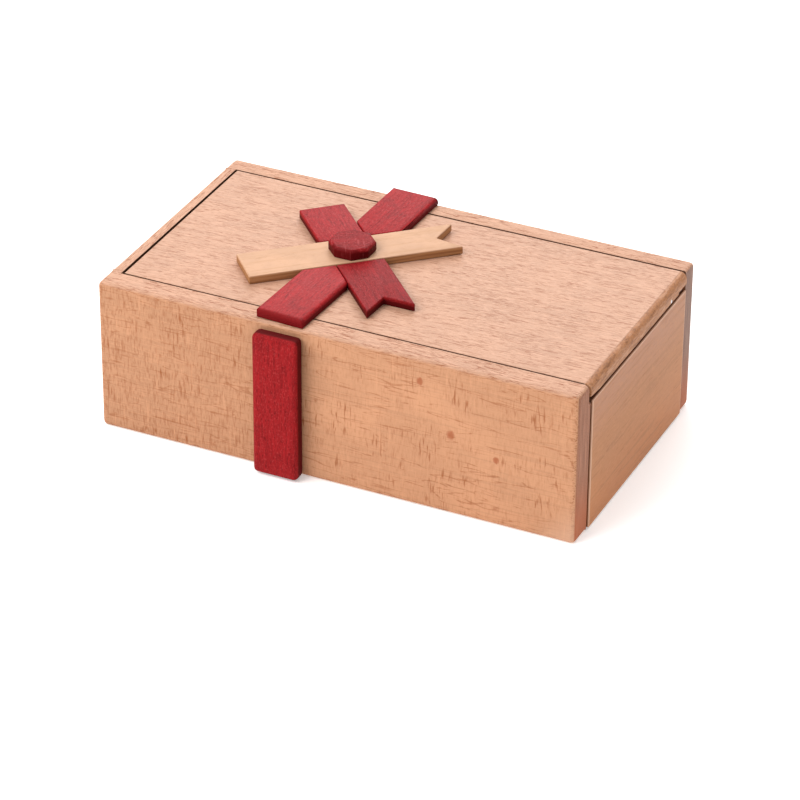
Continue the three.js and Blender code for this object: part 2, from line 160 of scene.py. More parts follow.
class GiftBoxStage(bpy.types.PropertyGroup):
    """Camera and light."""

    azimuth: bpy.props.FloatProperty(
        name="Azimuth", description="Camera direction, from the front towards the right end",
        default=math.radians(24.98), subtype="ANGLE")
    elevation: bpy.props.FloatProperty(
        name="Elevation", description="Camera height above the table, as an angle",
        default=math.radians(30.78), subtype="ANGLE")
    roll: bpy.props.FloatProperty(
        name="Roll", description="Camera tilt about its own view line",
        default=math.radians(0.44), subtype="ANGLE")
    distance: bpy.props.FloatProperty(
        name="Distance", description="From the camera to the point it looks at",
        default=1.1106, unit="LENGTH")
    aim: bpy.props.FloatVectorProperty(
        name="Aim", description="Point that the camera looks at",
        default=(4.38 * MM, -5.2 * MM, 9.9 * MM), subtype="XYZ", unit="LENGTH")
    lens: bpy.props.FloatProperty(
        name="Lens", description="Focal length on a 36 mm wide sensor, in millimetres",
        default=174.3, min=1.0)
    key: bpy.props.FloatProperty(
        name="Key light", description="Power of the softbox at the front left, in watts",
        default=23.0, min=0.0)
    back: bpy.props.FloatProperty(
        name="Back light", description="Power of the softbox behind the box, in watts",
        default=26.0, min=0.0)
    surround: bpy.props.FloatProperty(
        name="Surround", description="Brightness of the white room around the table",
        default=0.62, min=0.0)


# ---- Shader maths and nodes ----

WHITE = (1.0, 1.0, 1.0)
WAX_ROUGHNESS = 0.45


class Field:
    """A shader socket that takes part in arithmetic; each operator adds its Math node."""

    def __init__(self, finish, socket):
        self.finish = finish
        self.socket = socket

    def _maths(self, operation, *values):
        return self.finish.node("ShaderNodeMath", {"operation": operation},
                                dict(enumerate(values)))

    def __add__(self, other):
        return self._maths("ADD", self, other)

    def __radd__(self, other):
        return self._maths("ADD", other, self)

    def __sub__(self, other):
        return self._maths("SUBTRACT", self, other)

    def __rsub__(self, other):
        return self._maths("SUBTRACT", other, self)

    def __mul__(self, other):
        return self._maths("MULTIPLY", self, other)

    def __rmul__(self, other):
        return self._maths("MULTIPLY", other, self)

    def __truediv__(self, other):
        return self._maths("DIVIDE", self, other)

    def __abs__(self):
        return self._maths("ABSOLUTE", self)

    def least(self, other):
        """The smaller of the two."""
        return self._maths("MINIMUM", self, other)

    def most(self, other):
        """The larger of the two."""
        return self._maths("MAXIMUM", self, other)

    def step(self, low, high):
        """0 below low and 1 above high, with a soft change between; low may be the larger."""
        return self.finish.node(
            "ShaderNodeMapRange", {"interpolation_type": "SMOOTHSTEP"},
            {"Value": self, "From Min": low, "From Max": high})


class Finish:
    """A material under construction on the piece's own coordinates, in millimetres."""

    def __init__(self, name, turn=(0.0, 0.0, 0.0)):
        self.material = bpy.data.materials.new(name)
        self.material.use_nodes = True
        self.tree = self.material.node_tree
        self.tree.nodes.clear()
        self.x, self.y, self.z = self.axes((0.0, 0.0, 0.0))
        self.along, self.across, self.deep = self.axes(turn)

    def node(self, kind, settings=None, sockets=None, out=0):
        """Adds a node: its settings are set first, then its sockets are given values or links."""
        made = self.tree.nodes.new(kind)
        for key, value in (settings or {}).items():
            setattr(made, key, value)
        for key, value in (sockets or {}).items():
            if isinstance(value, Field):
                self.tree.links.new(value.socket, made.inputs[key])
            else:
                made.inputs[key].default_value = value
        return Field(self, made.outputs[out])

    def axes(self, turn):
        """The three coordinates of the surface point, after turning the grain onto X."""
        place = self.node("ShaderNodeTexCoord", out="Object")
        turned = self.node("ShaderNodeMapping", None, {
            "Vector": place, "Rotation": turn, "Scale": (1 / MM, 1 / MM, 1 / MM)})
        split = self.tree.nodes.new("ShaderNodeSeparateXYZ")
        self.tree.links.new(turned.socket, split.inputs[0])
        return [Field(self, split.outputs[axis]) for axis in range(3)]

    def noise(self, x, y, z, seed, detail=2.0, rough=0.5, bend=0.0):
        """Smooth noise, about 0.2 to 0.8, over three fields that carry their own scale."""
        point = self.node("ShaderNodeCombineXYZ", None,
                          {"X": x + seed, "Y": y + 2.3 * seed, "Z": z - 1.7 * seed})
        return self.node("ShaderNodeTexNoise", {"noise_dimensions": "3D"}, {
            "Vector": point, "Scale": 1.0, "Detail": detail, "Roughness": rough,
            "Distortion": bend})

    def streaks(self, length, width, seed, detail=2.0, bend=0.0):
        """Noise drawn out along the grain: features about length by width millimetres."""
        return self.noise(self.along / length, self.across / width, self.deep / width,
                          seed, detail, bend=bend)

    def mottle(self, size, seed, detail=2.0):
        """Even noise with features about size millimetres across."""
        return self.noise(self.x / size, self.y / size, self.z / size, seed, detail)

    def blend(self, first, second, amount):
        """The first colour at amount 0, the second at 1."""
        return self.node("ShaderNodeMix",
                         {"data_type": "RGBA", "blend_type": "MIX", "clamp_factor": True},
                         {0: amount, 6: colour(first), 7: colour(second)}, out=2)

    def axis(self, number):
        """The coordinate along X, Y or Z, by number."""
        return (self.x, self.y, self.z)[number]

    def edge_distance(self, low, high):
        """Millimetres from the nearest edge of the board between two corners."""
        first, second, third = [(axis - low[i]).least(high[i] - axis)
                                for i, axis in enumerate((self.x, self.y, self.z))]
        return first.least(second).most(first.most(second).least(third))

    def surface(self, base, rough, height=None, depth=0.04, shine=0.25, coat=0.0, metallic=0.0,
                glow=0.0):
        """Ends the tree: base colour, roughness and a bump of height, depth in millimetres.

        shine is the strength of the bare wood's reflection, coat that of a wax film over it.
        """
        sockets = {
            "Base Color": colour(base), "Roughness": rough, "Metallic": metallic,
            "Specular IOR Level": shine, "Coat Weight": coat, "Coat Roughness": WAX_ROUGHNESS,
            "Emission Color": colour(WHITE), "Emission Strength": glow}
        if height is not None:
            sockets["Normal"] = self.node("ShaderNodeBump", None, {
                "Strength": 1.0, "Distance": depth * MM, "Height": height})
        shader = self.node("ShaderNodeBsdfPrincipled", None, sockets)
        output = self.tree.nodes.new("ShaderNodeOutputMaterial")
        self.tree.links.new(shader.socket, output.inputs["Surface"])
        return self.material


def colour(value):
    """A link as it is, and three numbers as an opaque colour."""
    return value if isinstance(value, Field) else (*value, 1.0)


def shade(tone, factor):
    """A colour made lighter or darker by a factor."""
    return tuple(min(1.0, channel * factor) for channel in tone)


# ---- Finishes ----

GRAIN_X = (0.0, 0.0, 0.0)
GRAIN_Y = (0.0, 0.0, -math.pi / 2)
GRAIN_Z = (0.0, math.pi / 2, 0.0)


def grain_at(turn):
    """The turn that puts a grain lying at an angle on the lid onto X."""
    return (0.0, 0.0, -turn)


LID_GRAIN = grain_at(math.radians(3.5))

LID_END = (0.43, 0.185, 0.080)
LID_END_SPECK = (0.30, 0.130, 0.062)
LID_END_PALE = (0.55, 0.29, 0.17)
LID_END_DARK = (0.20, 0.085, 0.040)
PIN_KNOT = (0.33, 0.085, 0.035)
PAINTED_LIGHT_TONE = (0.62, 0.36, 0.24)
BACK_END_GRAIN = (0.285, 0.172, 0.134)
LOW_END_GRAIN = (0.46, 0.135, 0.058)
PANEL_TOP = (0.455, 0.230, 0.145)
PANEL_LOW = (0.54, 0.215, 0.090)
PANEL_LIT_EDGE = (0.72, 0.46, 0.33)
RED_NAP = (0.50, 0.060, 0.060)
RED_SCRATCH = (0.50, 0.10, 0.10)
CREAM_BAND = (0.46, 0.24, 0.11)
CREAM_PORE = (0.38, 0.19, 0.08)
CREAM_SIDE = (0.42, 0.205, 0.090)
CREAM_SIDE_LINE = (0.22, 0.090, 0.035)

# Painted shade in the seams: under the sharp edge, and only as deep as the eye gets.
SEAM_SHADE = (0.060, 0.022, 0.010)
SEAM_START = (0.01, 0.10)
SEAM_END = (2.8, 1.3)

# Small round marks in both long walls: place along the box, height and radius.
PIN_KNOTS = ((36.0, 25.6, 1.6), (26.5, 40.2, 1.3), (49.8, 21.0, 1.2))
# Corner of the front wall where a pale pool of painted light is put.
PAINTED_LIGHT_CORNER = (BODY[1].x, 0.0)


def seam_shade_depth(wood, top):
    """1 just under the sharp upper edge of a seam, 0 on the edge and deep in the seam: where a
    seam's painted shade goes.
    """
    start = wood.z.step(top - SEAM_START[0], top - SEAM_START[1])
    return start * wood.z.step(top - SEAM_END[0], top - SEAM_END[1])


def planed_look(wood, tone, mark, seed, figure=1.0):
    """Quiet planed beech: long soft bands, short wavy strokes and fine pores.

    Returns the base colour, the roughness and the height of the surface.
    """
    bands = wood.streaks(60.0, 3.0, seed, 2.0, 0.3).step(0.35, 0.7)
    swell = wood.streaks(9.0, 1.6, seed + 1.3, 2.0, 0.8)
    strokes = wood.streaks(3.6, 0.32, seed + 3.1, 2.5, 1.2)
    dark_strokes = strokes.step(0.53, 0.62)
    light_strokes = strokes.step(0.46, 0.36)
    pores = wood.streaks(1.2, 0.12, seed + 7.7, 1.0).step(0.58, 0.68)
    cloud = wood.mottle(16.0, seed + 11.0)
    base = wood.blend(tone, shade(tone, 0.90), bands * 0.6)
    base = wood.blend(base, shade(tone, 1.08), cloud.step(0.4, 0.7) * 0.6)
    base = wood.blend(base, mark, swell.step(0.50, 0.72) * (0.10 * figure))
    base = wood.blend(base, mark, dark_strokes * swell.step(0.30, 0.60) * (0.62 * figure))
    base = wood.blend(base, shade(tone, 1.22), light_strokes * (0.60 * figure))
    base = wood.blend(base, mark, pores * (0.20 * figure))
    rough = 0.46 + 0.10 * cloud + 0.08 * dark_strokes
    return base, rough, 0.6 * (1.0 - dark_strokes) + 0.4 * (1.0 - pores)


def lid_beech(colours):
    """The lid: pale beech, darker in its rounded end, with painted shade in the seams along its
    sides.
    """
    mark = tuple(colours.beech_mark)
    tone = tuple(colours.beech_lid)
    low, high = LID
    wood = Finish("beech_lid", LID_GRAIN)
    base, rough, height = planed_look(wood, tone, mark, 2.0)
    end = wood.x.step(high.x - 2.15, high.x - 1.75)
    specks = wood.noise(wood.x / 0.5, wood.y / 0.9, wood.z / 0.5, 5.0).step(0.42, 0.66)
    drift = wood.noise(wood.x / 3.0, wood.y / 5.0, wood.z / 0.8, 9.0, 3.0, bend=0.6)
    end_tone = wood.blend(LID_END, LID_END_SPECK, specks * 0.6)
    end_tone = wood.blend(end_tone, LID_END_PALE, drift.step(0.52, 0.66) * 0.6)
    end_tone = wood.blend(end_tone, LID_END_DARK, drift.step(0.46, 0.32) * 0.7)
    base = wood.blend(base, end_tone, end)
    # Painted shade: the lid's front, back and left faces are darkened just under the top edge, in
    # the seams.
    front_side = (wood.y - low.y).step(0.22, 0.05) * wood.x.step(high.x - 1.8, high.x - 2.6)
    sides = front_side.most((high.y - wood.y).step(0.22, 0.05))
    sides = sides.most((wood.x - low.x).step(0.22, 0.05))
    base = wood.blend(base, SEAM_SHADE, sides * seam_shade_depth(wood, high.z) * 0.9)
    top = wood.z.step(high.z - 0.5, high.z)
    return wood.surface(base, rough, height, 0.04, shine=0.16, coat=0.12 * top)


def wall_beech(name, colours, seed, grain, board, seam, end_tone, lit_corner):
    """The walls: warm beech with a woven look of upright flecks over faint long lines.

    seam gives the axis, the place and the side of the face that looks at the lid, which gets
    painted shade in the seam; end_tone the end grain at the right end or None; and the last flag
    paints a pale pool of light onto the lower right corner.
    """
    mark = tuple(colours.beech_mark)
    tone = tuple(colours.beech_wall)
    low, high = board
    wood = Finish(name, grain)
    cloud = wood.mottle(18.0, seed)
    lines = wood.streaks(38.0, 0.8, seed + 1.0, 3.0, 0.25)
    ripple = wood.streaks(26.0, 2.6, seed + 1.7, 2.0, 0.5)
    fine = wood.streaks(6.0, 0.32, seed + 2.0, 2.0, 0.5)
    upright = wood.noise(wood.along / 0.8, wood.across / 5.0, wood.deep / 5.0, seed + 4.0, 2.5)
    weave = wood.noise(wood.along / 0.42, wood.across / 1.8, wood.deep / 1.8, seed + 6.0, 2.0)
    patches = wood.mottle(9.0, seed + 8.0, 1.0)
    streak = wood.noise(wood.along / 1.0, wood.across / 9.0, wood.deep / 9.0, seed + 9.0, 3.0)
    to_left = wood.x.step(10.0, -60.0)
    base = wood.blend(tone, shade(tone, 1.12), cloud.step(0.42, 0.72))
    base = wood.blend(base, shade(tone, 0.80), to_left * 0.55)
    base = wood.blend(base, shade(tone, 0.80), lines.step(0.52, 0.64) * 0.35)
    crack = ripple.step(0.478, 0.50) * ripple.step(0.522, 0.50) * lines.step(0.36, 0.50)
    base = wood.blend(base, mark, crack * 0.50)
    base = wood.blend(base, shade(tone, 1.18), fine.step(0.46, 0.32) * 0.35)
    base = wood.blend(base, mark, weave.step(0.50, 0.70) * (0.16 + 0.22 * to_left))
    base = wood.blend(base, shade(tone, 1.20), weave.step(0.46, 0.32) * 0.25)
    spread = patches.step(0.46, 0.64)
    base = wood.blend(base, mark, upright.step(0.53, 0.70) * spread * 0.70)
    base = wood.blend(base, mark, streak.step(0.58, 0.70) * (0.20 + 0.35 * to_left) * spread)
    base = wood.blend(base, shade(tone, 1.22), streak.step(0.42, 0.28) * 0.40)
    for x, z, size in PIN_KNOTS:
        reach = (wood.x - x) * (wood.x - x) + (wood.z - z) * (wood.z - z) * 0.7
        ragged = reach + 2.0 * cloud + 2.0 * weave - 2.0
        base = wood.blend(base, PIN_KNOT, ragged.step(size * size, 0.3) * 0.75)
    edge = wood.edge_distance(low, high)
    dashes = wood.streaks(3.0, 0.28, seed + 12.0, 2.0, 0.6).step(0.50, 0.64)
    worn = dashes * edge.step(2.2, 0.4)
    base = wood.blend(base, mark, worn * 0.60)
    base = wood.blend(base, shade(tone, 1.25), dashes.step(0.4, 0.0) * edge.step(1.4, 0.3) * 0.5)
    # Painted light: a pale pool of light painted onto the front wall's lower right corner.
    if lit_corner:
        reach = abs(wood.x - PAINTED_LIGHT_CORNER[0]) + abs(wood.z - PAINTED_LIGHT_CORNER[1])
        pale = (reach + 10.0 * cloud).step(22.0, 4.0)
        base = wood.blend(base, PAINTED_LIGHT_TONE, pale * 0.8)
    # The rim on top gets the lid's planed look; its paler tone is painted light of the upward
    # face.
    top = (wood.z + 0.5 * weave).step(high.z - 0.7, high.z + 0.2)
    rim = planed_look(wood, shade(colours.beech_lid, 0.99), mark, seed + 21.0, 1.5)[0]
    base = wood.blend(base, rim, top)
    height = 0.5 * (1.0 - worn) + 0.3 * fine + 0.2 * weave
    if end_tone is not None:
        specks = wood.noise(wood.x / 0.4, wood.y / 0.4, wood.z / 0.5, seed + 14.0)
        rays = wood.noise(wood.x / 0.4, wood.y / 0.45, wood.z / 12.0, seed + 15.0, 2.5)
        cut = wood.blend(end_tone, shade(end_tone, 0.72), specks.step(0.45, 0.68) * 0.7)
        cut = wood.blend(cut, shade(end_tone, 1.35), rays.step(0.50, 0.66) * 0.7)
        cut = wood.blend(cut, shade(end_tone, 0.65), rays.step(0.46, 0.32) * 0.6)
        low_down = wood.z.step(high.z * 0.5, 0.0)
        cut = wood.blend(cut, LOW_END_GRAIN, low_down * 0.8)
        base = wood.blend(base, cut, wood.x.step(high.x - 0.45, high.x - 0.1))
    # Painted shade: the face that looks at the lid is darkened just under its top edge, in the
    # seam.
    axis, place, side = seam
    inside = (side * (place - wood.axis(axis))).step(0.20, 0.04)
    inside = inside * wood.x.step(high.x - 0.1, high.x - 0.4)
    if axis == Y_AXIS:
        inside = inside * wood.x.step(LEFT_SEAM - 0.1, LEFT_SEAM + 0.1)
    base = wood.blend(base, SEAM_SHADE, inside * seam_shade_depth(wood, high.z) * 0.9)
    rough = 0.50 + 0.12 * cloud
    return wood.surface(base, rough, height, 0.07, shine=0.06, coat=0.16 * top)


def panel_beech(colours):
    """The end panel: beech a shade darker, pinkish at the top and orange near the table."""
    mark = tuple(colours.beech_mark)
    tone = tuple(colours.beech_panel)
    low, high = corners_mm("drawer_front")
    wood = Finish("beech_panel", GRAIN_Y)
    cloud = wood.mottle(20.0, 31.0)
    lines = wood.streaks(30.0, 1.4, 33.0, 3.0, 0.4)
    fine = wood.streaks(5.0, 0.35, 35.0, 2.0, 0.4)
    nap = wood.noise(wood.along / 1.2, wood.across / 0.7, wood.deep / 0.7, 37.0, 2.0)
    base = wood.blend(tone, shade(tone, 1.08), cloud.step(0.4, 0.7))
    middle = high.z * 0.55
    base = wood.blend(base, PANEL_TOP, wood.z.step(middle, high.z) * 0.9)
    base = wood.blend(base, PANEL_LOW, wood.z.step(middle, 0.0) * 0.7)
    base = wood.blend(base, shade(tone, 0.84), lines.step(0.5, 0.66) * 0.6)
    base = wood.blend(base, mark, fine.step(0.54, 0.72) * 0.32)
    base = wood.blend(base, shade(tone, 1.20), nap.step(0.50, 0.34) * 0.35)
    edge = wood.edge_distance(low, high)
    lit_edge = edge.step(0.55, 0.15) * wood.x.step(high.x - 0.6, high.x - 0.3)
    base = wood.blend(base, PANEL_LIT_EDGE, lit_edge * 0.75)
    # Painted shade: a band just behind the panel's outer face is darkened, where its edges stand
    # in the seams.
    sides = wood.x.step(high.x - 0.35, high.x - 0.6) * wood.x.step(high.x - 2.8, high.x - 1.4)
    base = wood.blend(base, SEAM_SHADE, sides * 0.85)
    rough = 0.46 + 0.12 * cloud
    return wood.surface(base, rough, fine, 0.03, shine=0.10)


def plain_beech(name, colours, turn, seed, factor):
    """Inside boards and the drawer tray: the lid's beech, a factor darker."""
    tone = shade(colours.beech_lid, factor)
    wood = Finish(name, turn)
    base, rough, height = planed_look(wood, tone, tuple(colours.beech_mark), seed, 0.8)
    return wood.surface(base, rough, height, 0.03, shine=0.12)


def stained_red(name, colours, turn, seed, board, depth, coat, worn=0.0, upright=False):
    """Red stained wood: fine dark grain, open pores, sides painted darker as shade, and a little
    wear.

    depth scales the stain, coat is the wax film on the upward face, worn is how much scratches
    show, and an upright board shows its broad face to the front.
    """
    tone = shade(colours.red_stain, depth)
    dark = shade(colours.red_dark, depth)
    low, high = board
    wood = Finish(name, turn)
    cloud = wood.mottle(6.0, seed)
    grain = wood.streaks(12.0, 0.45, seed + 1.0, 3.5, 0.8)
    pores = wood.streaks(1.5, 0.30, seed + 2.0, 3.0, 0.6)
    nap = wood.noise(wood.along / 0.7, wood.across / 0.4, wood.deep / 0.4, seed + 6.0, 2.0)
    glow = wood.streaks(18.0, 0.9, seed + 5.0, 2.0, 0.4)
    base = wood.blend(tone, shade(tone, 1.20), glow.step(0.45, 0.7))
    base = wood.blend(base, dark, grain.step(0.50, 0.70) * 0.45)
    base = wood.blend(base, dark, pores.step(0.52, 0.66) * 0.60)
    base = wood.blend(base, dark, cloud.step(0.50, 0.25) * 0.35)
    base = wood.blend(base, RED_NAP, nap.step(0.52, 0.68) * (0.30 + 0.3 * worn))
    # Painted shade: all faces but the lit one are painted in a darker copy of the stain; on flat
    # pieces that means the sides, and on the upright strip everything behind its front face.
    side = shade(tone, 0.34)
    if upright:
        base = wood.blend(side, base, wood.y.step(low.y + 1.8, low.y + 0.8))
    else:
        base = wood.blend(side, base, wood.z.step(high.z - 1.4, high.z - 0.3))
        near_end = wood.y.step(low.y + 2.4, low.y + 1.4)
        far_end = wood.y.step(high.y - 2.0, high.y - 1.0)
        ends = near_end.most(far_end) * wood.z.step(high.z + 0.3, high.z - 0.4)
        base = wood.blend(base, shade(dark, 1.2), ends * 0.8)
    rough = 0.42 + 0.14 * cloud + 0.1 * pores
    height = 0.5 * (1.0 - pores.step(0.52, 0.68)) + 0.5 * (1.0 - grain.step(0.5, 0.75))
    if worn > 0.0:
        scratch = wood.noise(wood.along / 0.22, wood.across / 6.0, wood.deep / 6.0, seed + 9.0)
        scratches = scratch.step(0.62, 0.70)
        base = wood.blend(base, RED_SCRATCH, scratches * worn)
        height = height - 0.5 * scratches
    top = wood.z.step(high.z - 0.6, high.z) * (0.7 + 0.6 * nap)
    return wood.surface(base, rough, height, 0.05, shine=0.05, coat=coat * top)


def cream_wood(colours):
    """The cream ribbon: close-grained pale wood with faint golden bands, tan on its sides."""
    tone = tuple(colours.cream)
    wood = Finish("cream_wood", grain_at(CREAM_TURN))
    cloud = wood.mottle(9.0, 51.0)
    bands = wood.streaks(40.0, 1.8, 53.0, 3.0, 0.3)
    pores = wood.streaks(2.0, 0.16, 55.0, 1.0)
    base = wood.blend(tone, shade(tone, 1.10), cloud.step(0.4, 0.7))
    base = wood.blend(base, CREAM_BAND, bands.step(0.50, 0.70) * 0.40)
    base = wood.blend(base, CREAM_PORE, pores.step(0.58, 0.72) * 0.30)
    top = wood.z.step(CREAM_TOP - 0.45, CREAM_TOP - 0.15)
    layers = wood.noise(wood.along / 30.0, wood.across / 30.0, wood.z / 0.45, 57.0, 2.0)
    side = wood.blend(CREAM_SIDE, CREAM_SIDE_LINE, layers.step(0.50, 0.62) * 0.6)
    base = wood.blend(side, base, top)
    rough = 0.44 + 0.12 * cloud
    return wood.surface(base, rough, 1.0 - pores.step(0.6, 0.74), 0.03, shine=0.08,
                        coat=0.15 * top)


def ground_metal(name, tone, turn, rough):
    """Ground metal: fine turning marks round the axis."""
    metal = Finish(name, turn)
    marks = metal.noise(metal.along / 0.12, metal.across / 3.0, metal.deep / 3.0, 61.0)
    base = metal.blend(tone, shade(tone, 0.8), marks.step(0.4, 0.7) * 0.5)
    return metal.surface(base, rough + 0.15 * marks, marks, 0.004, shine=0.5, metallic=1.0)


# ---- Geometry trees ----


class Tree:
    """A geometry node tree under construction, with named inputs."""

    def __init__(self, name):
        self.group = bpy.data.node_groups.new(name, "GeometryNodeTree")
        self.group.interface.new_socket("Geometry", in_out="OUTPUT",
                                        socket_type="NodeSocketGeometry")
        self.entry = self.group.nodes.new("NodeGroupInput")

    def ask(self, name, kind, default=None):
        """Adds a named input and returns its socket in the tree."""
        socket = self.group.interface.new_socket(name, in_out="INPUT",
                                                 socket_type=f"NodeSocket{kind}")
        if default is not None:
            socket.default_value = default
        return self.entry.outputs[name]

    def node(self, kind, settings=None, sockets=None, out=0):
        """Adds a node: its settings first, then values or links for its sockets."""
        made = self.group.nodes.new(kind)
        for key, value in (settings or {}).items():
            setattr(made, key, value)
        for key, value in (sockets or {}).items():
            if isinstance(value, bpy.types.NodeSocket):
                self.group.links.new(value, made.inputs[key])
            else:
                made.inputs[key].default_value = value
        return made.outputs[out]

    def vector(self, operation, *values):
        """One Vector Math node; plain numbers are spread over the three axes."""
        spread = [(v, v, v) if isinstance(v, float) else v for v in values]
        return self.node("ShaderNodeVectorMath", {"operation": operation},
                         dict(enumerate(spread)))

    def finish(self, geometry, material):
        """Ends the tree: instances made real, the material set, the result sent out."""
        real = self.node("GeometryNodeRealizeInstances", None, {0: geometry})
        painted = self.node("GeometryNodeSetMaterial", None,
                            {"Geometry": real, "Material": material})
        result = self.group.nodes.new("NodeGroupOutput")
        self.group.links.new(painted, result.inputs[0])
        return self.group


BOARD_STEPS = 8
PIN_STATIONS = 24
PIN_SIDES = 40
PIN_CHAMFER = 0.15
CHAMFER_REACH = 0.04


def board_tree():
    """A board between two corners with every edge rounded to the same radius.

    A cube of BOARD_STEPS points a side is pulled onto a ball, and each eighth of the ball is
    moved out to its own corner, so the ball's middle rows stretch into flat faces.
    """
    tree = Tree("rounded_board")
    low = tree.ask("Low corner", "Vector")
    high = tree.ask("High corner", "Vector")
    radius = tree.ask("Edge radius", "Float", 0.2 * MM)
    material = tree.ask("Material", "Material")
    cube = tree.node("GeometryNodeMeshCube", None, {
        "Size": (2.0, 2.0, 2.0), "Vertices X": BOARD_STEPS, "Vertices Y": BOARD_STEPS,
        "Vertices Z": BOARD_STEPS}, out="Mesh")
    place = tree.node("GeometryNodeInputPosition")
    side = tree.vector("SIGN", place)
    middle = 1.0 / (BOARD_STEPS - 1)
    past_middle = tree.vector("SUBTRACT", tree.vector("ABSOLUTE", place), middle)
    share = tree.vector("DIVIDE", past_middle, 1.0 - middle)
    lean = tree.vector("TANGENT", tree.vector("MULTIPLY", share, math.pi / 4))
    ball = tree.vector("NORMALIZE", tree.vector("MULTIPLY", lean, side))
    half = tree.vector("MULTIPLY", tree.vector("SUBTRACT", high, low), 0.5)
    reach = tree.vector("SUBTRACT", half, radius)
    rounded = tree.node("ShaderNodeVectorMath", {"operation": "SCALE"},
                        {0: ball, "Scale": radius})
    offset = tree.vector("ADD", tree.vector("MULTIPLY", side, reach), rounded)
    centre = tree.vector("MULTIPLY", tree.vector("ADD", high, low), 0.5)
    moved = tree.node("GeometryNodeSetPosition", None, {
        "Geometry": cube, "Position": tree.vector("ADD", offset, centre)})
    return tree.finish(moved, material)


def pin_tree():
    """A straight round pin between two points with a small chamfer at each end."""
    tree = Tree("round_pin")
    start = tree.ask("Start", "Vector")
    end = tree.ask("End", "Vector")
    radius = tree.ask("Radius", "Float", 1.0 * MM)
    chamfer = tree.ask("Chamfer share", "Float", PIN_CHAMFER)
    material = tree.ask("Material", "Material")
    line = tree.node("GeometryNodeCurvePrimitiveLine", None, {"Start": start, "End": end})
    stations = tree.node("GeometryNodeResampleCurve", None, {"Curve": line, "Count": PIN_STATIONS})
    along = tree.node("GeometryNodeSplineParameter", out="Factor")
    from_end = tree.node("ShaderNodeMath", {"operation": "PINGPONG"}, {0: along, 1: 0.5})
    swell = tree.node("ShaderNodeMapRange", None, {
        "Value": from_end, "From Min": 0.0, "From Max": CHAMFER_REACH})
    low = tree.node("ShaderNodeMath", {"operation": "SUBTRACT"}, {0: 1.0, 1: chamfer})
    scale = tree.node("ShaderNodeMix", {"data_type": "FLOAT"}, {0: swell, 2: low, 3: 1.0})
    sized = tree.node("ShaderNodeMath", {"operation": "MULTIPLY"}, {0: scale, 1: radius})
    shaped = tree.node("GeometryNodeSetCurveRadius", None, {"Curve": stations, "Radius": sized})
    ring = tree.node("GeometryNodeCurvePrimitiveCircle", None, {
        "Resolution": PIN_SIDES, "Radius": 1.0})
    skin = tree.node("GeometryNodeCurveToMesh", None, {
        "Curve": shaped, "Profile Curve": ring, "Fill Caps": True, "Scale": sized})
    return tree.finish(skin, material)


# ---- Making pieces ----

BEVEL_STEPS = 4
CREASE = math.radians(30)
FLAT = math.radians(1)
WELD = 0.002 * MM
PLANE_SLACK = 0.02 * MM
LENGTHWISE_SLOPE = 8.0


def add_piece(name, mesh, body, nodes):
    """Links a finished mesh as a piece that rides on a body and stands for frame nodes."""
    piece = bpy.data.objects.new(name, mesh)
    bpy.context.scene.collection.objects.link(piece)
    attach(piece, body)
    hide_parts(*nodes)
    return piece


def settled(worker, name):
    """The mesh of a working object with its modifiers applied; the object is then removed."""
    bpy.context.view_layer.update()
    depsgraph = bpy.context.evaluated_depsgraph_get()
    mesh = bpy.data.meshes.new_from_object(
        worker.evaluated_get(depsgraph), preserve_all_data_layers=True, depsgraph=depsgraph)
    mesh.name = name
    bpy.data.objects.remove(worker)
    return mesh


def worker_for(name, mesh):
    """A working object that carries modifiers."""
    worker = bpy.data.objects.new(f"{name}_work", mesh)
    bpy.context.scene.collection.objects.link(worker)
    return worker


def from_tree(name, group, values):
    """Runs a geometry tree with the given named inputs and returns a plain mesh."""
    worker = worker_for(name, bpy.data.meshes.new(name))
    modifier = worker.modifiers.new("Shape", "NODES")
    modifier.node_group = group
    identifiers = {item.name: item.identifier for item in group.interface.items_tree
                   if item.item_type == "SOCKET" and item.in_out == "INPUT"}
    for key, value in values.items():
        modifier[identifiers[key]] = value
    worker.modifiers.new("Flats", "WEIGHTED_NORMAL").keep_sharp = True
    mesh = settled(worker, name)
    mesh.shade_smooth()
    mesh.set_sharp_from_angle(angle=CREASE)
    return mesh


def on_plane(edge, axis, value):
    """Whether both ends of an edge lie on an axis plane."""
    return all(abs(vert.co[axis] - value) < PLANE_SLACK for vert in edge.verts)


def planes_shared(edge, low, high):
    """How many of the six faces of a block, in millimetres, an edge lies on."""
    return sum(on_plane(edge, axis, corner[axis] * MM)
               for axis in range(3) for corner in (low, high))


def eased_copy(node, radius_of, material):
    """A copy of a frame node's shape with its edges rounded.

    radius_of gives the radius for one edge of the merged shape, in scene units.
    """
    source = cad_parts[node]
    work = bmesh.new()
    work.from_mesh(source.data)
    bmesh.ops.remove_doubles(work, verts=work.verts, dist=WELD)
    bmesh.ops.dissolve_limit(work, angle_limit=FLAT, verts=work.verts,
                             edges=work.edges, use_dissolve_boundaries=False)
    weights = work.edges.layers.float.new("bevel_weight_edge")
    radii = {edge: radius_of(edge) for edge in work.edges
             if edge.is_manifold and edge.calc_face_angle(0.0) > CREASE}
    largest = max(radii.values())
    for edge, radius in radii.items():
        edge[weights] = radius / largest
    mesh = bpy.data.meshes.new(node)
    work.to_mesh(mesh)
    work.free()
    mesh.materials.clear()
    mesh.materials.append(material)
    worker = worker_for(node, mesh)
    bevel = worker.modifiers.new("Eased edges", "BEVEL")
    bevel.limit_method = "WEIGHT"
    bevel.width = largest
    bevel.segments = BEVEL_STEPS
    bevel.miter_outer = "MITER_ARC"
    bevel.use_clamp_overlap = False
    worker.modifiers.new("Flats", "WEIGHTED_NORMAL").keep_sharp = True
    result = settled(worker, node)
    result.shade_smooth()
    result.set_sharp_from_angle(angle=CREASE)
    return result


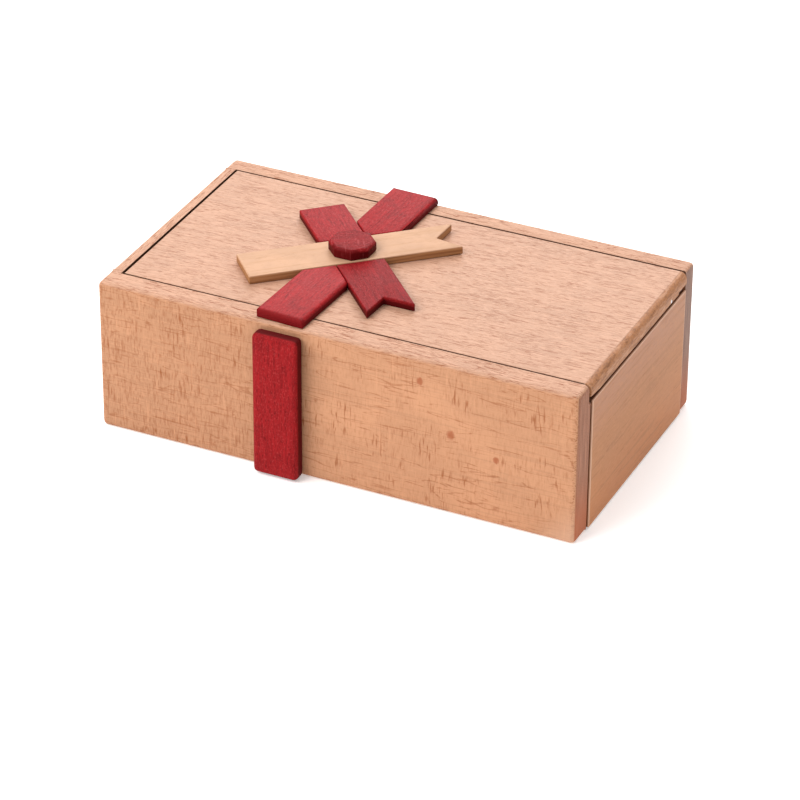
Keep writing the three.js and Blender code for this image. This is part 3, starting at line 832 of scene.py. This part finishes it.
def wall_edges(sizes, board):
    """Outside edges of the box are rounded most, edges against other boards least."""
    def radius_of(edge):
        if planes_shared(edge, *BODY) >= 2:
            return sizes.outer_edge
        if planes_shared(edge, *board) >= 2:
            return sizes.inner_edge
        return 0.0
    return radius_of


def even_edges(radius, shortest=1.0 * MM):
    """The same radius on every edge that isn't part of a small round hole."""
    def radius_of(edge):
        return radius if edge.calc_length() > shortest else 0.0
    return radius_of


def straight_edges(sizes):
    """The straight ribbon: outer ends and right-hand edge rounded most, the rest a little."""
    middle = (KNOT[0].x + KNOT[1].x) / 2

    def radius_of(edge):
        first, second = (vert.co / MM for vert in edge.verts)
        run = second - first
        level = abs(run.z) < 0.01
        on_top = level and first.z > LID[1].z + 1.0
        at_end = max(first.y, second.y) < FRONT_SEAM or min(first.y, second.y) > BACK_SEAM
        lengthwise = abs(run.y) > LENGTHWISE_SLOPE * abs(run.x)
        if on_top and at_end:
            return sizes.ribbon_end
        if on_top and lengthwise and first.x > middle:
            return sizes.ribbon_side
        return sizes.bow_edge
    return radius_of


# ---- Operators ----


class GIFTBOX_OT_walls(bpy.types.Operator):
    """Make the long walls and the left wall"""

    bl_idname = "giftbox.walls"
    bl_label = "Walls"

    def execute(self, context):
        colours = context.scene.giftbox_colours
        sizes = context.scene.giftbox_sizes
        front_end = tuple(colours.end_grain)
        walls = (
            ("front_wall", FRONT_WALL, GRAIN_X, 3.0, (Y_AXIS, FRONT_SEAM, 1.0), front_end),
            ("back_wall", BACK_WALL, GRAIN_X, 17.0, (Y_AXIS, BACK_SEAM, -1.0), BACK_END_GRAIN),
            ("left_wall", LEFT_WALL, GRAIN_Y, 29.0, (X_AXIS, LEFT_SEAM, 1.0), None),
        )
        for node, board, grain, seed, seam, end_tone in walls:
            finish = wall_beech(f"beech_{node}", colours, seed, grain, board, seam, end_tone,
                                lit_corner=node == "front_wall")
            mesh = eased_copy(node, wall_edges(sizes, board), finish)
            add_piece(f"{node}_piece", mesh, "box", [node])
        return {"FINISHED"}


class GIFTBOX_OT_inner_boards(bpy.types.Operator):
    """Make the bottom board, the partition and the drawer bay's cover"""

    bl_idname = "giftbox.inner_boards"
    bl_label = "Inner boards"

    def execute(self, context):
        colours = context.scene.giftbox_colours
        finishes = {
            "bottom_board": plain_beech("beech_bottom", colours, GRAIN_X, 71.0, 0.9),
            "partition": plain_beech("beech_partition", colours, GRAIN_Y, 73.0, 0.92),
            "bay_cover": plain_beech("beech_cover", colours, GRAIN_Y, 75.0, 0.95),
        }
        make_boards(context, finishes, "box")
        return {"FINISHED"}


def make_boards(context, finishes, body):
    """Makes plain rounded boards in place of frame nodes, one finish each."""
    group = board_tree()
    for node, finish in finishes.items():
        low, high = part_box(node)
        mesh = from_tree(node, group, {
            "Low corner": low, "High corner": high,
            "Edge radius": context.scene.giftbox_sizes.inner_edge, "Material": finish})
        add_piece(f"{node}_piece", mesh, body, [node])


LID_CORNER = 4.0 * MM


class GIFTBOX_OT_lid(bpy.types.Operator):
    """Make the lid board with its rounded hinge end"""

    bl_idname = "giftbox.lid"
    bl_label = "Lid"

    def execute(self, context):
        sizes = context.scene.giftbox_sizes
        finish = lid_beech(context.scene.giftbox_colours)
        mesh = eased_copy("lid_board", even_edges(sizes.lid_edge, LID_CORNER), finish)
        add_piece("lid_board_piece", mesh, "lid", ["lid_board"])
        return {"FINISHED"}


class GIFTBOX_OT_ribbons(bpy.types.Operator):
    """Make the front strip, the straight ribbon, the bow's tails and the cream ribbon"""

    bl_idname = "giftbox.ribbons"
    bl_label = "Ribbons"

    def execute(self, context):
        colours = context.scene.giftbox_colours
        sizes = context.scene.giftbox_sizes
        along_lid = grain_at(MAIN_TURN)
        along_tail = grain_at(TAIL_TURN)
        bow_edges = even_edges(sizes.bow_edge)
        reds = (
            ("front_ribbon", "box", GRAIN_Z, 5.0, even_edges(sizes.ribbon_edge), 0.84, 0.0),
            ("ribbon_front", "lid", along_lid, 12.0, straight_edges(sizes), 1.06, 0.20),
            ("ribbon_back", "lid", along_lid, 19.0, straight_edges(sizes), 1.00, 0.15),
            ("bow_tail_upper", "lid", along_tail, 26.0, bow_edges, 0.97, 0.17),
            ("bow_tail_lower", "lid", along_tail, 37.0, bow_edges, 0.76, 0.12),
        )
        for node, body, grain, seed, radius_of, depth, coat in reds:
            finish = stained_red(f"red_{node}", colours, grain, seed, corners_mm(node), depth,
                                 coat, upright=node == "front_ribbon")
            mesh = eased_copy(node, radius_of, finish)
            add_piece(f"{node}_piece", mesh, body, [node])
        mesh = eased_copy("cream_ribbon", bow_edges, cream_wood(colours))
        add_piece("cream_ribbon_piece", mesh, "lid", ["cream_ribbon"])
        return {"FINISHED"}


class GIFTBOX_OT_knot(bpy.types.Operator):
    """Make the carved knot in the middle of the bow"""

    bl_idname = "giftbox.knot"
    bl_label = "Knot"

    def execute(self, context):
        colours = context.scene.giftbox_colours
        finish = stained_red("red_knot", colours, grain_at(KNOT_TURN), 44.0, KNOT, 0.74, 0.11,
                             worn=0.5)
        mesh = eased_copy("bow_knot", even_edges(context.scene.giftbox_sizes.bow_edge), finish)
        add_piece("bow_knot_piece", mesh, "knot", ["bow_knot"])
        return {"FINISHED"}


BAR_EDGE = 0.5 * MM
BRASS_EDGE = 0.08 * MM
DOWEL_EDGE = 0.1 * MM
STUD_EDGE = 0.15 * MM


class GIFTBOX_OT_lock(bpy.types.Operator):
    """Make the dowel, the turn bar, its screw and washer, the steel pins and the lid's stud"""

    bl_idname = "giftbox.lock"
    bl_label = "Lock and pins"

    def execute(self, context):
        colours = context.scene.giftbox_colours
        bar = eased_copy("turn_bar", even_edges(BAR_EDGE),
                         plain_beech("beech_bar", colours, GRAIN_X, 81.0, 0.9))
        add_piece("turn_bar_piece", bar, "knot", ["turn_bar"])
        brass = ground_metal("brass", colours.brass, GRAIN_Z, 0.3)
        for node in ("knot_washer", "knot_screw"):
            mesh = eased_copy(node, even_edges(BRASS_EDGE, 0.0), brass)
            add_piece(f"{node}_piece", mesh, "knot", [node])
        dowel = eased_copy("knot_dowel", even_edges(DOWEL_EDGE, 0.0),
                           plain_beech("beech_dowel", colours, GRAIN_Z, 83.0, 0.95))
        add_piece("knot_dowel_piece", dowel, "knot", ["knot_dowel"])
        self.make_pins(colours.steel)
        return {"FINISHED"}

    def make_pins(self, tone):
        """The two hinge pins, the drawer's lock pin and the stud in the lid's end."""
        group = pin_tree()
        steel = ground_metal("steel", tone, GRAIN_Y, 0.22)
        riders = {"hinge_pin_front": "lid", "hinge_pin_back": "lid", "tilt_pin": "lock_pin"}
        for node, body in riders.items():
            low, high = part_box(node)
            centre = (low + high) / 2
            start = Vector((centre.x, low.y, centre.z))
            end = Vector((centre.x, high.y, centre.z))
            mesh = from_tree(node, group, {
                "Start": start, "End": end, "Radius": (high.x - low.x) / 2,
                "Chamfer share": PIN_CHAMFER, "Material": steel})
            add_piece(f"{node}_piece", mesh, body, [node])
        stud = eased_copy("lid_stud", even_edges(STUD_EDGE, 0.0), steel)
        add_piece("lid_stud_piece", stud, "lid", ["lid_stud"])


class GIFTBOX_OT_drawer(bpy.types.Operator):
    """Make the hidden drawer: the end panel and the tray behind it"""

    bl_idname = "giftbox.drawer"
    bl_label = "Drawer"

    def execute(self, context):
        colours = context.scene.giftbox_colours
        side_finish = plain_beech("beech_tray_sides", colours, GRAIN_X, 91.0, 0.95)
        make_boards(context, {"drawer_front": panel_beech(colours)}, "drawer")
        make_boards(context, {
            "drawer_side_back": side_finish,
            "drawer_back": plain_beech("beech_tray_back", colours, GRAIN_Y, 93.0, 0.95),
            "drawer_floor": plain_beech("beech_tray_floor", colours, GRAIN_X, 95.0, 1.0),
        }, "drawer")
        mesh = eased_copy("drawer_side_front",
                          even_edges(context.scene.giftbox_sizes.inner_edge), side_finish)
        add_piece("drawer_side_front_piece", mesh, "drawer", ["drawer_side_front"])
        return {"FINISHED"}


KEY_PLACE = (-0.75, -0.95, 1.25)
KEY_SIZE = 1.1
BACK_PLACE = (-0.25, 1.35, 1.15)
BACK_SIZE = 1.6
TABLE_HALF = 8.0
TABLE_DROP = 0.05 * MM
TABLE_WHITE = (0.93, 0.93, 0.93)
SENSOR_WIDTH = 36.0


def softbox(name, place, size, power):
    """A square area light that faces the box."""
    light = bpy.data.lights.new(name, "AREA")
    light.shape = "SQUARE"
    light.size = size
    light.energy = power
    lamp = bpy.data.objects.new(name, light)
    lamp.location = place
    lamp.rotation_euler = (-Vector(place)).to_track_quat("-Z", "Y").to_euler()
    bpy.context.scene.collection.objects.link(lamp)


class GIFTBOX_OT_stage(bpy.types.Operator):
    """Make the white table, the softboxes, the white surround and the camera"""

    bl_idname = "giftbox.stage"
    bl_label = "Stage"

    def execute(self, context):
        stage = context.scene.giftbox_stage
        self.make_floor()
        softbox("key_softbox", KEY_PLACE, KEY_SIZE, stage.key)
        softbox("back_softbox", BACK_PLACE, BACK_SIZE, stage.back)
        self.make_surround(context.scene, stage.surround)
        self.make_camera(context.scene, stage)
        context.scene.view_settings.view_transform = "Standard"
        return {"FINISHED"}

    def make_floor(self):
        """A wide white table top just under the box."""
        mesh = bpy.data.meshes.new("table_top")
        work = bmesh.new()
        bmesh.ops.create_grid(work, x_segments=1, y_segments=1, size=TABLE_HALF,
                              matrix=Matrix.Translation((0.0, 0.0, -TABLE_DROP)))
        work.to_mesh(mesh)
        work.free()
        white = Finish("white_table")
        mesh.materials.append(white.surface(TABLE_WHITE, 0.9, shine=0.2, glow=0.3))
        table = bpy.data.objects.new("table_top", mesh)
        bpy.context.scene.collection.objects.link(table)

    def make_surround(self, scene, strength):
        """White surroundings: dim as a light, pure white where the camera sees them."""
        world = bpy.data.worlds.new("white_room")
        world.use_nodes = True
        scene.world = world
        nodes = world.node_tree.nodes
        ray = nodes.new("ShaderNodeLightPath")
        level = nodes.new("ShaderNodeMix")
        level.data_type = "FLOAT"
        level.inputs[2].default_value = strength
        level.inputs[3].default_value = 1.0
        world.node_tree.links.new(ray.outputs["Is Camera Ray"], level.inputs[0])
        sky = nodes["Background"]
        sky.inputs["Color"].default_value = colour(WHITE)
        world.node_tree.links.new(level.outputs[0], sky.inputs["Strength"])

    def make_camera(self, scene, stage):
        """The camera, on a line from the point it looks at, with its own slight roll."""
        data = bpy.data.cameras.new("camera")
        data.sensor_width = SENSOR_WIDTH
        data.lens = stage.lens
        data.clip_start = 0.01
        data.clip_end = 50.0
        camera = bpy.data.objects.new("camera", data)
        level = math.cos(stage.elevation)
        towards = Vector((math.sin(stage.azimuth) * level, -math.cos(stage.azimuth) * level,
                          math.sin(stage.elevation)))
        camera.location = Vector(stage.aim) + towards * stage.distance
        upright = towards.to_track_quat("Z", "Y")
        camera.rotation_euler = (upright.to_matrix() @
                                 Euler((0.0, 0.0, stage.roll)).to_matrix()).to_euler()
        scene.collection.objects.link(camera)
        scene.camera = camera


class GIFTBOX_PT_panel(bpy.types.Panel):
    """Shows the gift box's settings and a button for each step of making it"""

    bl_idname = "GIFTBOX_PT_panel"
    bl_label = "Gift Box"
    bl_space_type = "VIEW_3D"
    bl_region_type = "UI"
    bl_category = "Gift Box"

    def draw(self, context):
        scene = context.scene
        for group in (scene.giftbox_sizes, scene.giftbox_colours, scene.giftbox_stage):
            column = self.layout.column(align=True)
            for name in group.__annotations__:
                column.prop(group, name)
        for operator in OPERATORS:
            self.layout.operator(operator.bl_idname)


GROUPS = (
    ("giftbox_sizes", GiftBoxSizes),
    ("giftbox_colours", GiftBoxColours),
    ("giftbox_stage", GiftBoxStage),
)
OPERATORS = (
    GIFTBOX_OT_walls,
    GIFTBOX_OT_inner_boards,
    GIFTBOX_OT_lid,
    GIFTBOX_OT_ribbons,
    GIFTBOX_OT_knot,
    GIFTBOX_OT_lock,
    GIFTBOX_OT_drawer,
    GIFTBOX_OT_stage,
)


def register():
    """Adds the settings, the operators and the panel."""
    for name, group in GROUPS:
        bpy.utils.register_class(group)
        setattr(bpy.types.Scene, name, bpy.props.PointerProperty(type=group))
    for operator in OPERATORS:
        bpy.utils.register_class(operator)
    bpy.utils.register_class(GIFTBOX_PT_panel)


def unregister():
    """Takes the panel, the operators and the settings away again."""
    bpy.utils.unregister_class(GIFTBOX_PT_panel)
    for operator in reversed(OPERATORS):
        bpy.utils.unregister_class(operator)
    for name, group in reversed(GROUPS):
        delattr(bpy.types.Scene, name)
        bpy.utils.unregister_class(group)


def main():
    """Registers the add-on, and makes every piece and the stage."""
    register()
    for operator in OPERATORS:
        group, name = operator.bl_idname.split(".")
        getattr(getattr(bpy.ops, group), name)()


if __name__ == "__main__":
    main()
